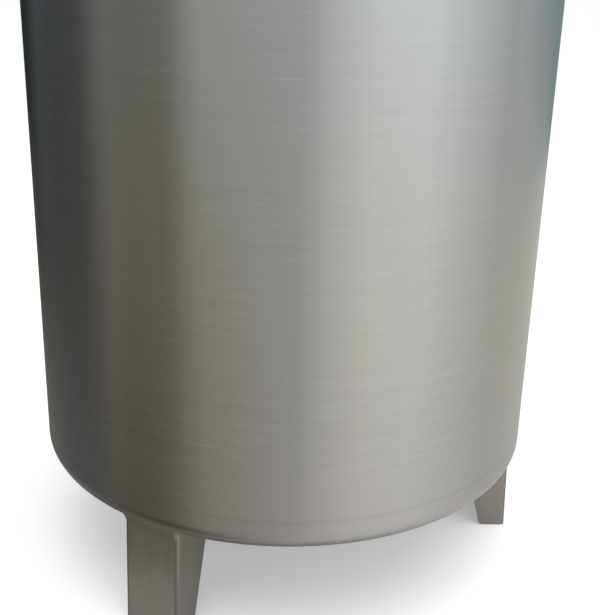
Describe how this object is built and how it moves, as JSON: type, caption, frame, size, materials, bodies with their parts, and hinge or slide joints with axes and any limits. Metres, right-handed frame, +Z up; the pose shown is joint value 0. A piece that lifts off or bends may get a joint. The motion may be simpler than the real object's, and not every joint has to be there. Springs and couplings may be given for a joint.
{
  "type": "vertical storage tank on legs",
  "caption": "Vertical stainless steel storage tank with flat-coned ends, folded channel legs, a hinged top manway and a bottom drain valve.",
  "frame": {"origin": "on the tank's axis, at floor level", "axes": "+Z up along the tank's axis, +X through the middle of one leg, +Y the way the drain points"},
  "size_m": [1, 1, 1.8202],
  "materials": {
    "shell_steel": "brushed round the shell, satin",
    "leg_steel": "mill finish, dull",
    "fitting_steel": "polished satin",
    "gasket_rubber": "pale food grade rubber",
    "knob_plastic": "black moulded plastic"
  },
  "bodies": {
    "root": {"shell": "shell_steel", "bottom_head": "shell_steel", "top_head": "shell_steel", "leg_right": "leg_steel", "leg_rear_left": "leg_steel", "leg_front_left": "leg_steel", "foot_plate_right": "leg_steel", "foot_plate_rear_left": "leg_steel", "foot_plate_front_left": "leg_steel", "manway_neck": "fitting_steel", "manway_flange": "fitting_steel", "manway_gasket": "gasket_rubber", "manway_lid": "fitting_steel", "lid_handle": "fitting_steel", "hinge_bracket": "fitting_steel", "hinge_pin": "fitting_steel", "hinge_strap": "fitting_steel", "latch_bracket": "fitting_steel", "latch_pin": "fitting_steel", "latch_bolt": "fitting_steel", "latch_lug": "fitting_steel", "latch_knob": "knob_plastic", "lifting_lug_1": "fitting_steel", "lifting_lug_2": "fitting_steel", "lifting_lug_3": "fitting_steel", "vent_nozzle": "fitting_steel", "vent_seal": "gasket_rubber", "vent_cap": "fitting_steel", "vent_clamp": "fitting_steel", "inlet_nozzle": "fitting_steel", "inlet_seal": "gasket_rubber", "inlet_cap": "fitting_steel", "inlet_clamp": "fitting_steel", "outlet_pipe": "fitting_steel", "outlet_seal": "gasket_rubber", "outlet_clamp": "fitting_steel", "valve_body": "fitting_steel", "valve_disc": "fitting_steel", "valve_lever": "fitting_steel", "lever_grip": "knob_plastic"}
  },
  "joints": []
}
